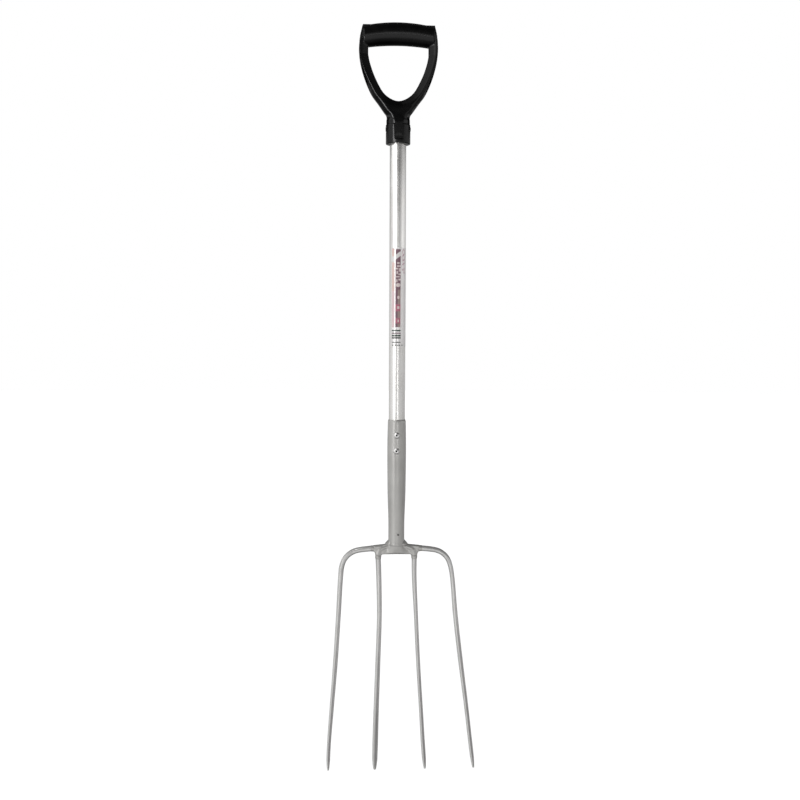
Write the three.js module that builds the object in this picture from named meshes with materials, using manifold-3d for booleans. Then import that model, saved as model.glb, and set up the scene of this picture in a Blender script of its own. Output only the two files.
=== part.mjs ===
// A four-prong fork: a moulded D-handle pinned to an aluminium tube, and a welded steel head riveted to it.
// Millimetres. +Z runs up the shaft, +X is to the right, and the prongs curve towards the front, -Y.
// The origin is the middle of the grip's underside, which the fork hangs from. Heights count from it.
import * as THREE from 'three';
import { mergeVertices } from 'three/addons/utils/BufferGeometryUtils.js';
import Module from 'manifold-3d';

const wasm = await Module();
wasm.setup();

const DEGREE = Math.PI / 180;

// Clearance that each pair of touching pieces keeps.
const GAP = 0.3;

// Shaft: a 25 mm round tube.
const TUBE_RADIUS = 12.5;
const TUBE_WALL = 1.6;
const TUBE_TOP = -97;
const TUBE_FOOT = -662;

// Film label stuck round the front right of the tube. Turns round the shaft count from the front, in degrees.
const LABEL_TOP = -305;
const LABEL_LENGTH = 150;
const LABEL_THICKNESS = 0.3;
const LABEL_LEFT_TURN = -46;
const LABEL_WRAP = 144;

// D-handle: a barrel grip, arched upwards, between two arms that meet over a sleeve.
const GRIP_RADIUS = 17.2;
const GRIP_END_RADIUS = 16.4;
const GRIP_EDGE = 1;
const GRIP_ARCH = 5;
const GRIP_HALF = 53;
const ARM_DEPTH = 27;
const ARM_CHAMFER = 4.6;
const ARM_CHAMFER_DEPTH = 7;
// Right half of the arms' outline, from the neck up to the grip's end, as [across, height].
const ARM_OUTSIDE = [[17.4, -114], [18.2, -106.2], [22.4, -100.2], [30.8, -88.4], [40.7, -74.9], [51, -51.8],
  [57.8, -27.6], [59.9, -8], [58.5, 13], [54.9, 29]];
// Right half of the hand opening, from under the grip down to the crotch.
const EYE_TOP = 6;
const EYE_SIDE = [[46, -15], [43.4, -27.3], [34.6, -51.2], [19.7, -75.1], [0, -84]];

// Sleeve under the crotch, with a step in its side and a flat strap down its front and back.
const SLEEVE_RADIUS = 18.7;
const SLEEVE_WAIST = 17.8;
const SLEEVE_FOOT = -148.5;
const SLEEVE_EDGE = 1.2;
const SLEEVE_STEP = -119;
const SLEEVE_TOP = -113;
const NECK_TOP = -88;
const NECK_RADIUS = 12.5;
const STRAP_WIDTH = 13.2;
const STRAP_FACE = 19;
const STRAP_SHOULDER = -117;
const STRAP_TOP = -92;

// Pin across the sleeve, with a domed head in a shallow seat at each end.
const PIN_HEIGHT = -125.5;
const PIN_RADIUS = 2.5;
const PIN_HEAD_RADIUS = 4.4;
const PIN_HEAD_RISE = 1.4;
const PIN_SEAT_RADIUS = 5.2;
const PIN_SEAT_DEPTH = 1.2;

// Socket: a swaged steel tube, widest below its rim and narrow at its foot.
const SOCKET_RIM = -567;
const SOCKET_FOOT = -759;
const SOCKET_RIM_RADIUS = 13.9;
const SOCKET_FOOT_RADIUS = 12.4;
const SOCKET_WALL = 1.5;
const SOCKET_LIP = 0.8;
// Its outside from rim to foot, as [radius, height].
const SOCKET_OUTSIDE = [[SOCKET_RIM_RADIUS, SOCKET_RIM], [14, -575], [14.4, -596], [14.5, -622], [14.3, -648],
  [13.7, -688], [12.5, -722], [SOCKET_FOOT_RADIUS, SOCKET_FOOT]];
const VENT_HEIGHT = -744;
const VENT_RADIUS = 2;
const VENT_TURN = 9;

// Blind rivets through the socket and the tube, on the front.
const RIVETS = [
  { place: 'upper', height: -591, turn: -3 },
  { place: 'lower', height: -615, turn: -5 },
];
const RIVET_RADIUS = 2.4;
const RIVET_HEAD_RADIUS = 4.7;
const RIVET_HEAD_RISE = 1.7;
const RIVET_BULB_RADIUS = 3.5;
const RIVET_BULB_LENGTH = 4;
const MANDREL_RADIUS = 1.1;
const MANDREL_HEAD_RADIUS = 2.3;
const MANDREL_HEAD_LENGTH = 2.4;
const MANDREL_RECESS = 0.9;

// Crosshead: a forged plate with a stub towards each prong, and a hub under the socket.
const CROSSHEAD_THICKNESS = 9.4;
const CROSSHEAD_CHAMFER = 2;
const HUB_FOOT_HALF = 7.4;
const CROSSHEAD_TOP = SOCKET_FOOT - GAP;
const STUB_END = 35.6;
const STUB_TOP = -761.8;
const STUB_FOOT = -771.2;
const WEB_FOOT = -774.8;
const LEG_FOOT = -778.5;
const LEG_INNER = 23.4;
const LEG_OUTER = 32.4;
const LEG_FILLET = 4.5;

// Weld metal: a nugget between each stub and its prong, and a fillet in each corner beside the socket's foot.
const NUGGET_LENGTH = 2.2;
const NUGGET_RADIUS = 4.5;
const NUGGET_BULGE = 0.5;
const FILLET_RISE = 6;
const FILLET_REACH = 5.2;
const FILLET_DEPTH = 8.4;

// Prongs: down from the crosshead and dished to the front on one radius, with blunt points.
const PRONG_DATUM = -774;
const DISH_RADIUS = 442;
const PRONG_LENGTH = 326.5;
const POINT_LENGTH = 17;
const POINT_SHARE = 0.34;
const ROOT_SIZE = 8.7;
const ROOT_TAPER = 75;
// From a stub's end to its prong's root, past the nugget and its gaps.
const ROOT_OFFSET = NUGGET_LENGTH + 3.3 * GAP;
// Distances down a prong at which its section's depth, its width and its place across the head are given.
const STATIONS = [35, 95, 165, 235, 290, PRONG_LENGTH];
const PRONG_DEPTHS = [8.2, 7.8, 7.4, 6.8, 6, 5.6];
// The prongs differ a little, as hand-straightened ones do.
const PRONGS = [
  { name: 'outer_tine_left', side: -1, outer: true,
    across: [85.8, 89.3, 94, 99.9, 104.2, 105.5], widths: [7.9, 7.4, 7.2, 6.5, 5.7, 5.5] },
  { name: 'inner_tine_left', side: -1, outer: false,
    across: [26.9, 26.3, 29.3, 33, 35.9, 37.7], widths: [8.1, 7.5, 7.7, 8.1, 8.4, 7.6] },
  { name: 'inner_tine_right', side: 1, outer: false,
    across: [27.9, 30.2, 32.2, 34.2, 35, 35.8], widths: [7.4, 6.3, 6.2, 6, 6.3, 5.9] },
  { name: 'outer_tine_right', side: 1, outer: true,
    across: [86.8, 91.3, 97.4, 103, 105.7, 107.2], widths: [7, 7.5, 7.3, 6.5, 6.2, 5.6] },
];
// Middle lines above the first station: an outer prong's round its shoulder, an inner prong's under its leg.
const SHOULDER = [[STUB_END + ROOT_OFFSET, -766.7], [54, -768.3], [64.5, -770.6], [73.4, -775.7],
  [80, -783.4], [84, -793.8]];
const INNER_ROOT = [[(LEG_INNER + LEG_OUTER) / 2, LEG_FOOT - ROOT_OFFSET]];

// Materials.
const blackPlastic = () => new THREE.MeshStandardMaterial({ color: 0x1b1b1c, roughness: 0.45, metalness: 0 });
const aluminium = () => new THREE.MeshStandardMaterial({ color: 0xc9c9cb, roughness: 0.35, metalness: 1 });
const greyEnamel = () => new THREE.MeshStandardMaterial({ color: 0x9b9b97, roughness: 0.5, metalness: 0 });
const brightSteel = () => new THREE.MeshStandardMaterial({ color: 0xb4b4b2, roughness: 0.3, metalness: 1 });
const printedFilm = () => new THREE.MeshStandardMaterial({ color: 0x8c6f80, roughness: 0.4, metalness: 0 });

// A closed geometry as a solid that can be joined and cut.
function solidOf(geometry) {
  const bare = geometry.clone();
  bare.deleteAttribute('normal');
  bare.deleteAttribute('uv');
  const merged = mergeVertices(bare, 1e-4);
  const corners = merged.index.array;
  const kept = [];
  for (let i = 0; i < corners.length; i += 3) {
    const [a, b, c] = corners.slice(i, i + 3);
    if (a !== b && b !== c && c !== a) kept.push(a, b, c);
  }
  const vertProperties = new Float32Array(merged.attributes.position.array);
  return new wasm.Manifold(new wasm.Mesh({ numProp: 3, vertProperties, triVerts: new Uint32Array(kept) }));
}

function geometryOf(solid) {
  const mesh = solid.getMesh();
  const geometry = new THREE.BufferGeometry();
  geometry.setAttribute('position', new THREE.BufferAttribute(new Float32Array(mesh.vertProperties), 3));
  geometry.setIndex(new THREE.BufferAttribute(new Uint32Array(mesh.triVerts), 1));
  return geometry;
}

const join = (...geometries) => geometryOf(geometries.map(solidOf).reduce((all, next) => all.add(next)));
const common = (one, other) => geometryOf(solidOf(one).intersect(solidOf(other)));

function cut(body, ...tools) {
  return geometryOf(tools.map(solidOf).reduce((left, tool) => left.subtract(tool), solidOf(body)));
}

const vectors = (pairs) => pairs.map(([x, y]) => new THREE.Vector2(x, y));
const mirrored = (pairs) => pairs.map(([x, y]) => [-x, y]).reverse();

// A piece turned about the Z axis, from [radius, height] pairs.
const turned = (pairs, segments) => new THREE.LatheGeometry(vectors(pairs), segments).rotateX(90 * DEGREE);

// A round rod along Z between two heights, and one along X between two places.
function rod(radius, low, high, segments = 32) {
  return turned([[0, low], [radius, low], [radius, high], [0, high]], segments);
}

const crossRod = (radius, left, right) => rod(radius, left, right, 20).rotateY(90 * DEGREE);

// An outline in X and Z, given thickness about Y with rounded edges that stay inside it.
function plate(outline, thickness, chamfer, chamferDepth) {
  const geometry = new THREE.ExtrudeGeometry(outline, {
    depth: thickness - 2 * chamferDepth,
    bevelSize: chamfer,
    bevelOffset: -chamfer,
    bevelThickness: chamferDepth,
    bevelSegments: 2,
    curveSegments: 2,
  });
  return geometry.translate(0, 0, chamferDepth - thickness / 2).rotateX(90 * DEGREE);
}

// D-handle.
function armsOutline() {
  const outline = new THREE.Shape().moveTo(...ARM_OUTSIDE[0]);
  outline.splineThru(vectors(ARM_OUTSIDE.slice(1)));
  const left = mirrored(ARM_OUTSIDE);
  outline.lineTo(...left[0]);
  outline.splineThru(vectors(left.slice(1)));
  outline.closePath();
  const [corner, ...side] = EYE_SIDE;
  const eye = new THREE.Path().moveTo(corner[0], EYE_TOP);
  eye.lineTo(...corner);
  eye.splineThru(vectors([...side, ...mirrored(EYE_SIDE).slice(1)]));
  eye.lineTo(-corner[0], EYE_TOP);
  eye.closePath();
  outline.holes.push(eye);
  return outline;
}

function grip() {
  const rings = 8;
  const profile = [[0, -GRIP_HALF], [GRIP_END_RADIUS - GRIP_EDGE, -GRIP_HALF]];
  for (let i = 0; i <= rings; i += 1) {
    const along = (2 * i) / rings - 1;
    const radius = THREE.MathUtils.lerp(GRIP_RADIUS, GRIP_END_RADIUS, along * along);
    profile.push([radius, along * (GRIP_HALF - GRIP_EDGE)]);
  }
  profile.push([GRIP_END_RADIUS - GRIP_EDGE, GRIP_HALF], [0, GRIP_HALF]);
  const barrel = turned(profile, 24).rotateY(90 * DEGREE);
  const place = barrel.attributes.position;
  for (let i = 0; i < place.count; i += 1) {
    const along = place.getX(i) / GRIP_HALF;
    place.setZ(i, place.getZ(i) + GRIP_RADIUS - GRIP_ARCH * along * along);
  }
  return barrel;
}

// The front and back straps, which slope in above their shoulder to meet the arms' faces.
function straps() {
  const half = [[STRAP_FACE, SLEEVE_FOOT], [STRAP_FACE, STRAP_SHOULDER], [ARM_DEPTH / 2, STRAP_TOP]];
  const outline = new THREE.Shape(vectors([...half, ...mirrored(half)]));
  const bar = new THREE.ExtrudeGeometry(outline, { depth: STRAP_WIDTH, bevelEnabled: false });
  return bar.translate(0, 0, -STRAP_WIDTH / 2).rotateX(90 * DEGREE).rotateZ(90 * DEGREE);
}

function dHandle() {
  const arms = plate(armsOutline(), ARM_DEPTH, ARM_CHAMFER, ARM_CHAMFER_DEPTH);
  const sleeve = turned([[0, SLEEVE_FOOT], [SLEEVE_RADIUS - SLEEVE_EDGE, SLEEVE_FOOT],
    [SLEEVE_RADIUS, SLEEVE_FOOT + SLEEVE_EDGE], [SLEEVE_RADIUS, SLEEVE_STEP - 1], [SLEEVE_WAIST, SLEEVE_STEP],
    [SLEEVE_WAIST, SLEEVE_TOP], [NECK_RADIUS, NECK_TOP], [0, NECK_TOP]], 32);
  const body = join(arms, grip(), sleeve, straps());
  const floor = SLEEVE_RADIUS - PIN_SEAT_DEPTH;
  const outside = SLEEVE_RADIUS + PIN_SEAT_DEPTH;
  const holes = [
    crossRod(PIN_RADIUS + GAP, -outside, outside),
    crossRod(PIN_SEAT_RADIUS, floor, outside),
    crossRod(PIN_SEAT_RADIUS, -outside, -floor),
  ];
  for (const hole of holes) hole.translate(0, 0, PIN_HEIGHT);
  return cut(body, rod(TUBE_RADIUS + GAP, SLEEVE_FOOT - GAP, TUBE_TOP + GAP), ...holes);
}

function handlePin() {
  const seat = SLEEVE_RADIUS - PIN_SEAT_DEPTH + GAP;
  const half = [[PIN_RADIUS, seat], [PIN_HEAD_RADIUS, seat],
    [PIN_HEAD_RADIUS * 0.85, seat + PIN_HEAD_RISE * 0.6],
    [PIN_HEAD_RADIUS * 0.45, seat + PIN_HEAD_RISE * 0.93], [0, seat + PIN_HEAD_RISE]];
  const profile = [...half.map(([radius, along]) => [radius, -along]).reverse(), ...half];
  return turned(profile, 20).rotateY(90 * DEGREE).translate(0, 0, PIN_HEIGHT);
}

// Shaft.
function shaftTube() {
  const inside = TUBE_RADIUS - TUBE_WALL;
  const tube = turned([[inside, TUBE_FOOT], [TUBE_RADIUS, TUBE_FOOT], [TUBE_RADIUS, TUBE_TOP],
    [inside, TUBE_TOP], [inside, TUBE_FOOT]], 32);
  const pinHole = crossRod(PIN_RADIUS + GAP, -SLEEVE_RADIUS, SLEEVE_RADIUS).translate(0, 0, PIN_HEIGHT);
  return cut(tube, pinHole, ...RIVETS.map(rivetHole));
}

function shaftLabel() {
  const inside = TUBE_RADIUS + GAP;
  const outside = inside + LABEL_THICKNESS;
  const from = (LABEL_LEFT_TURN - 90) * DEGREE;
  const to = from + LABEL_WRAP * DEGREE;
  const band = new THREE.Shape();
  band.absarc(0, 0, outside, from, to, false);
  band.absarc(0, 0, inside, to, from, true);
  band.closePath();
  const settings = { depth: LABEL_LENGTH, bevelEnabled: false, curveSegments: 16 };
  const sleeve = new THREE.ExtrudeGeometry(band, settings);
  return sleeve.translate(0, 0, LABEL_TOP - LABEL_LENGTH);
}

// Socket and its rivets.
function socketRadius(height) {
  const next = Math.max(1, SOCKET_OUTSIDE.findIndex(([, level]) => level <= height));
  const [[radiusAbove, above], [radiusBelow, below]] = [SOCKET_OUTSIDE[next - 1], SOCKET_OUTSIDE[next]];
  return THREE.MathUtils.mapLinear(height, above, below, radiusAbove, radiusBelow);
}

// The tube's end fits in the socket's upper part, which is bored to take it.
function socket() {
  const bands = 10;
  const bored = TUBE_FOOT - 8;
  const outside = [[SOCKET_RIM_RADIUS - SOCKET_LIP, SOCKET_RIM]];
  const inside = [[TUBE_RADIUS + GAP, SOCKET_RIM]];
  for (let i = 0; i <= bands; i += 1) {
    const height = THREE.MathUtils.lerp(SOCKET_RIM - SOCKET_LIP, SOCKET_FOOT, i / bands);
    const radius = socketRadius(height);
    outside.push([radius, height]);
    inside.unshift([Math.max(height > bored ? TUBE_RADIUS + GAP : 0, radius - SOCKET_WALL), height]);
  }
  const shell = turned([...outside, ...inside, outside[0]].reverse(), 28);
  const vent = crossRod(VENT_RADIUS, 0, SLEEVE_RADIUS).rotateZ((VENT_TURN - 90) * DEGREE);
  vent.translate(0, 0, VENT_HEIGHT);
  return cut(shell, vent, ...RIVETS.map(rivetHole));
}

// Stands a piece drawn up the Z axis, from the shaft's middle, at its rivet's place in the socket's front.
const atRivet = (geometry, { height, turn }) =>
  geometry.rotateX(90 * DEGREE).rotateZ(turn * DEGREE).translate(0, 0, height);

const rivetHole = (rivet) => atRivet(rod(RIVET_RADIUS + GAP, RIVET_RADIUS, SLEEVE_RADIUS, 20), rivet);

// How far from the shaft's axis a rivet's bulb may reach and stay clear inside the round tube.
const bulbSeat = () => Math.sqrt((TUBE_RADIUS - TUBE_WALL) ** 2 - RIVET_BULB_RADIUS ** 2) - GAP;

function rivetBody(rivet) {
  const bore = MANDREL_RADIUS + GAP;
  const seat = socketRadius(rivet.height) + GAP;
  const crown = seat + RIVET_HEAD_RISE;
  const back = bulbSeat();
  const end = back - RIVET_BULB_LENGTH;
  const profile = [[bore, end], [RIVET_BULB_RADIUS * 0.8, end], [RIVET_BULB_RADIUS, (back + end) / 2],
    [RIVET_BULB_RADIUS * 0.9, back], [RIVET_RADIUS, back], [RIVET_RADIUS, seat], [RIVET_HEAD_RADIUS, seat],
    [RIVET_HEAD_RADIUS * 0.9, seat + RIVET_HEAD_RISE * 0.5],
    [RIVET_HEAD_RADIUS * 0.6, seat + RIVET_HEAD_RISE * 0.9], [bore + GAP, crown], [bore, crown - GAP],
    [bore, end]];
  return atRivet(turned(profile, 20), rivet);
}

function rivetMandrel(rivet) {
  const tip = socketRadius(rivet.height) + GAP + RIVET_HEAD_RISE - MANDREL_RECESS;
  const neck = bulbSeat() - RIVET_BULB_LENGTH - GAP;
  const end = neck - MANDREL_HEAD_LENGTH;
  const profile = [[0, end], [MANDREL_HEAD_RADIUS * 0.85, end + 0.4], [MANDREL_HEAD_RADIUS, neck - 0.8],
    [MANDREL_HEAD_RADIUS * 0.9, neck], [MANDREL_RADIUS, neck], [MANDREL_RADIUS, tip], [0, tip]];
  return atRivet(turned(profile, 16), rivet);
}

// Fork head.
function crossheadOutline() {
  const half = new THREE.Path().moveTo(0, CROSSHEAD_TOP);
  half.lineTo(SOCKET_FOOT_RADIUS, CROSSHEAD_TOP);
  half.lineTo(STUB_END, STUB_TOP);
  half.lineTo(STUB_END, STUB_FOOT);
  half.quadraticCurveTo(LEG_OUTER, STUB_FOOT - 0.6, LEG_OUTER, LEG_FOOT);
  half.lineTo(LEG_INNER, LEG_FOOT);
  half.quadraticCurveTo(LEG_INNER, WEB_FOOT - 0.8, LEG_INNER - LEG_FILLET, WEB_FOOT - 0.6);
  half.lineTo(0, WEB_FOOT);
  const right = half.getPoints(6);
  const left = right.slice(1, -1).map(({ x, y }) => new THREE.Vector2(-x, y)).reverse();
  return new THREE.Shape([...right, ...left]);
}

// The hub is round under the socket and thins towards its foot.
function crosshead() {
  const web = plate(crossheadOutline(), CROSSHEAD_THICKNESS, CROSSHEAD_CHAMFER, CROSSHEAD_CHAMFER);
  const half = [[HUB_FOOT_HALF, WEB_FOOT + 1], [SOCKET_FOOT_RADIUS, CROSSHEAD_TOP]];
  const wedge = new THREE.Shape(vectors([...half, ...mirrored(half)]));
  const reach = 2 * SOCKET_FOOT_RADIUS;
  const taper = new THREE.ExtrudeGeometry(wedge, { depth: reach, bevelEnabled: false });
  taper.translate(0, 0, -reach / 2).rotateX(90 * DEGREE).rotateZ(90 * DEGREE);
  return join(web, common(taper, rod(SOCKET_FOOT_RADIUS, WEB_FOOT, CROSSHEAD_TOP)));
}

function socketWeld(side) {
  const inside = SOCKET_FOOT_RADIUS + GAP;
  const ring = turned([[0, 0], [FILLET_REACH, 0], [FILLET_REACH * 0.75, FILLET_RISE * 0.37],
    [FILLET_REACH * 0.25, FILLET_RISE * 0.8], [0, FILLET_RISE], [0, 0]]
    .map(([out, up]) => [inside + out, SOCKET_FOOT + up]), 40);
  const reach = SOCKET_FOOT_RADIUS + FILLET_REACH;
  const slice = new THREE.BoxGeometry(reach, FILLET_DEPTH, 2 * FILLET_RISE);
  return common(ring, slice.translate(side * reach, 0, SOCKET_FOOT + FILLET_RISE));
}

function nugget({ side, outer }) {
  const half = NUGGET_LENGTH / 2;
  const bead = turned([[0, -half], [NUGGET_RADIUS, -half], [NUGGET_RADIUS + NUGGET_BULGE, 0],
    [NUGGET_RADIUS, half], [0, half]], 20);
  const middle = GAP + half;
  if (outer) return bead.rotateY(90 * DEGREE).translate(side * (STUB_END + middle), 0, SHOULDER[0][1]);
  return bead.translate(side * INNER_ROOT[0][0], 0, LEG_FOOT - middle);
}

// The value at a distance down a prong, straight between stations and level past the first and last.
function atStation(down, values) {
  const next = STATIONS.findIndex((station) => station > down);
  if (next === 0) return values[0];
  if (next < 0) return values[values.length - 1];
  return THREE.MathUtils.mapLinear(down, STATIONS[next - 1], STATIONS[next], values[next - 1], values[next]);
}

function middleLine({ side, outer, across }) {
  const root = (outer ? SHOULDER : INNER_ROOT).map(([x, z]) => new THREE.Vector3(side * x, 0, z));
  const dished = STATIONS.map((down, i) => {
    const turn = down / DISH_RADIUS;
    const forward = DISH_RADIUS * (1 - Math.cos(turn));
    return new THREE.Vector3(side * across[i], -forward, PRONG_DATUM - DISH_RADIUS * Math.sin(turn));
  });
  return new THREE.CatmullRomCurve3([...root, ...dished], false, 'centripetal');
}

// Drawn as a rod of radius 1 and length 1 up the Y axis, then carried onto its middle line at its size.
function tine(prong) {
  const line = middleLine(prong);
  const length = line.getLength();
  const rings = prong.outer ? 36 : 24;
  const wall = Array.from({ length: rings + 1 }, (_, i) => [1, i / rings]);
  const body = new THREE.LatheGeometry(vectors([[0, 0], ...wall, [0, 1]]), 10);
  const place = body.attributes.position;
  for (let i = 0; i < place.count; i += 1) {
    const corner = new THREE.Vector3().fromBufferAttribute(place, i);
    const tangent = line.getTangentAt(corner.y);
    const front = new THREE.Vector3(0, -1, 0).addScaledVector(tangent, tangent.y).normalize();
    const sideways = new THREE.Vector3().crossVectors(tangent, front);
    const toPoint = length * (1 - corner.y);
    const down = PRONG_LENGTH - toPoint;
    const pointShare = THREE.MathUtils.lerp(POINT_SHARE, 1, Math.sqrt(Math.min(1, toPoint / POINT_LENGTH)));
    const rootShare = THREE.MathUtils.clamp((STATIONS[0] - down) / ROOT_TAPER, 0, 1);
    const [halfWidth, halfDepth] = [prong.widths, PRONG_DEPTHS].map((sizes) => (
      (THREE.MathUtils.lerp(atStation(down, sizes), ROOT_SIZE, rootShare) * pointShare) / 2));
    const point = line.getPointAt(corner.y);
    point.addScaledVector(sideways, corner.x * halfWidth).addScaledVector(front, corner.z * halfDepth);
    place.setXYZ(i, point.x, point.y, point.z);
  }
  return body;
}

const fork = new THREE.Group();

function add(name, geometry, material) {
  const mesh = new THREE.Mesh(geometry, material);
  mesh.name = name;
  fork.add(mesh);
}

add('d_handle', dHandle(), blackPlastic());
add('handle_pin', handlePin(), brightSteel());
add('shaft_tube', shaftTube(), aluminium());
add('shaft_label', shaftLabel(), printedFilm());
add('socket', socket(), greyEnamel());
for (const rivet of RIVETS) {
  add(`socket_rivet_${rivet.place}`, rivetBody(rivet), brightSteel());
  add(`rivet_mandrel_${rivet.place}`, rivetMandrel(rivet), brightSteel());
}
add('crosshead', crosshead(), greyEnamel());
for (const [place, side] of [['left', -1], ['right', 1]]) {
  add(`socket_weld_${place}`, socketWeld(side), greyEnamel());
}
for (const prong of PRONGS) {
  add(prong.name, tine(prong), greyEnamel());
  add(prong.name.replace('tine', 'weld'), nugget(prong), greyEnamel());
}

export default fork;
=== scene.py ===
"""A four-prong fork in a white studio, built round the CAD frame: surfaces, materials, light and camera.

Lengths are millimetres here and become metres where a mesh is made. +Z runs up the shaft and the prongs curve
towards the front, -Y. The origin is the middle of the grip's underside.
"""
import math

import bmesh
import bpy
import numpy as np
from mathutils import Matrix, Vector


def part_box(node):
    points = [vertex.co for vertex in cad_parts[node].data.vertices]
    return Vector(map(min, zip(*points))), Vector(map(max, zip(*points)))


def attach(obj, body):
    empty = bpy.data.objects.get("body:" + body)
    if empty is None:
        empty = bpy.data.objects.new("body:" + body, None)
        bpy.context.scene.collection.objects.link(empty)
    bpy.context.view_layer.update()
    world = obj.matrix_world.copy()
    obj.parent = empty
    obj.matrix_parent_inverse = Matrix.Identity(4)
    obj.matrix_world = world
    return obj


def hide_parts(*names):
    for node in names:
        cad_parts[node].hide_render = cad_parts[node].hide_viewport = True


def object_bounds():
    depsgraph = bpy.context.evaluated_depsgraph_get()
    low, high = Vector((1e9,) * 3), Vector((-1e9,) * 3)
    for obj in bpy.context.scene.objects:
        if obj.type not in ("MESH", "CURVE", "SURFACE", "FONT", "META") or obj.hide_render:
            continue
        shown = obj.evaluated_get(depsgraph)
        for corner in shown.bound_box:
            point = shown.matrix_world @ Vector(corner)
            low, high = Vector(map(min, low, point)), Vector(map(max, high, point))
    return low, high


MM = 0.001
DEGREE = math.pi / 180

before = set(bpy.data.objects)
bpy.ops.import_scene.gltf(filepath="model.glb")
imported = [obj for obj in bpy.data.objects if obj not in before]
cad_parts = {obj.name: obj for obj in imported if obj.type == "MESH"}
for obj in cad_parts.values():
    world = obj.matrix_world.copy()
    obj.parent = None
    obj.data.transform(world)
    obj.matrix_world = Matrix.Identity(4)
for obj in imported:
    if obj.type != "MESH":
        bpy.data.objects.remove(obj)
cad_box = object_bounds()


def span(node):
    """Lowest and highest corners of a CAD node."""
    low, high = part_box(node)
    return np.array(low) / MM, np.array(high) / MM


# ---------------------------------------------------------------- sizes
# Clearance between neighbouring pieces.
GAP = 0.3

# D-handle. Its arms and grip are alike left and right, front and back.
HANDLE_LOW, HANDLE_HIGH = span("d_handle")
SLEEVE_FOOT = HANDLE_LOW[2]
GRIP_RADIUS = 17.2
GRIP_END_RADIUS = 16.4
GRIP_ARCH = 5
GRIP_HALF = 53
# Depths of the arms' front face, outer edge and inner edge, and the slope of their inner side.
ARM_FRONT = 13.5
ARM_EDGE = 3.5
ARM_INSIDE = 7
ARM_SLOPE = 0.7
ARM_OUTSIDE = [[17.4, -114], [18.2, -106.2], [22.4, -100.2], [30.8, -88.4], [40.7, -74.9], [51, -51.8],
               [57.8, -27.6], [59.9, -8], [58.5, 13], [54.9, 29]]
# How far in from the arms' outline their ridge runs, as heights and distances.
RIDGE_HEIGHTS = [-121, -112, -100, -83, -64, -53, -44, -35, -23, -10]
RIDGE_INSETS = [11, 8.2, 4.2, 4.4, 3.8, 3, 2.1, 1.4, 1, 0.8]
EYE_TOP = 6
EYE_SIDE = [[46, -15], [43.4, -27.3], [34.6, -51.2], [19.7, -75.1], [0, -84]]
SLEEVE_RADIUS = 18.7
SLEEVE_WAIST = 17.8
SLEEVE_STEP = -119
SLEEVE_STEP_HEIGHT = 0.8
SLEEVE_TOP = -113
NECK_TOP = -100
NECK_RADIUS = 12.5
# The strap is the flat that carries the arms' front face down the sleeve.
STRAP_FACE = 16.9
STRAP_FOOT_FACE = 17.9
FLAT_FOOT = SLEEVE_FOOT + 6
STRAP_SHOULDER = -117
STRAP_TOP = -92
# The handle's rounded edges and fillets.
ARM_ROUND = 1.2
INNER_RIDGE_ROUND = 2.5
OUTER_RIDGE_ROUND = 3.6
SIDE_ROUND = 1.6
GRIP_END_ROUND = 1.2
FLAT_ROUND = 0.6
NECK_ROUND = 2
GRIP_FILLET = 1.4
NECK_FILLET = 1.2
FOOT_ROUND = 1.6
HOLE_ROUND = 0.5
# These bring the fields of the arms' slanting sides down to about a distance.
OUTER_SIDE_SCALE = 0.5
INNER_SIDE_SCALE = 0.88
# The cells in which its surface is found.
HANDLE_STEP = 0.8
PIN_HEIGHT = -125.5
PIN_RADIUS = 2.5
PIN_HEAD_RADIUS = 4.4
PIN_HEAD_RISE = 1.3
PIN_SEAT_RADIUS = 5.2
PIN_SEAT_DEPTH = 1.2

# Shaft and label.
TUBE_LOW, TUBE_HIGH = span("shaft_tube")
TUBE_RADIUS = TUBE_HIGH[0]
TUBE_WALL = 1.6
LABEL_LOW, LABEL_HIGH = span("shaft_label")
LABEL_LEFT_TURN = -46
LABEL_WRAP = 144
LABEL_CORNER = 3
LABEL_COLUMNS, LABEL_ROWS = 72, 150
FILM = 0.16
FILM_LIFT = 0.02

# Socket and rivets.
SOCKET_LOW, SOCKET_HIGH = span("socket")
SOCKET_RIM, SOCKET_FOOT = SOCKET_HIGH[2], SOCKET_LOW[2]
SOCKET_FOOT_RADIUS = 12.4
SOCKET_WALL = 1.5
SOCKET_OUTSIDE = [[13.9, -567], [14, -575], [14.4, -596], [14.5, -622], [14.3, -648], [13.7, -688],
                  [12.5, -722], [12.4, -759]]
# The lip at its rim, as distances beyond the tube's side and below the rim, and where its plain outside starts.
SOCKET_LIP = [[GAP, 1.6], [GAP + 0.05, 0.4], [GAP + 0.2, 0]]
LIP_EDGE_INSET, LIP_EDGE_DROP = 0.1, 2
LIP_DEPTH = 2.4
# Its bore is straight this far below the tube's end.
BORE_PAST_TUBE = 8
VENT_HEIGHT = -744
VENT_RADIUS = 1.3
VENT_DEPTH = 3
VENT_TURN = 9
# Each rivet's name, height and turn about the shaft.
RIVETS = [("upper", -591, -3), ("lower", -615, -5)]
RIVET_RADIUS = 2.4
RIVET_HEAD_RADIUS = 4.7
RIVET_HEAD_RISE = 1.7
# Behind the tube's wall the rivet's bulb, and the head of the stem that pulled it.
BULB_RADIUS = 3.4
BULB_LENGTH = 4
BULB_CLEARANCE = 1
STEM_HEAD_RADIUS = 2.3
STEM_HEAD_LENGTH = 2.4
MANDREL_RECESS = 0.9
MANDREL_RADIUS = 1.4

# Fork head.
HEAD_LOW, HEAD_HIGH = span("crosshead")
PLATE_HALF = 4.7
HUB_FOOT_HALF = 7.4
STUB_END = HEAD_HIGH[0]
STUB_TOP = -761.8
STUB_FOOT = -771.2
WEB_FOOT = -774.8
LEG_FOOT = HEAD_LOW[2]
LEG_INNER = 23.4
LEG_OUTER = 32.4
LEG_FILLET = 4.5
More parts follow.
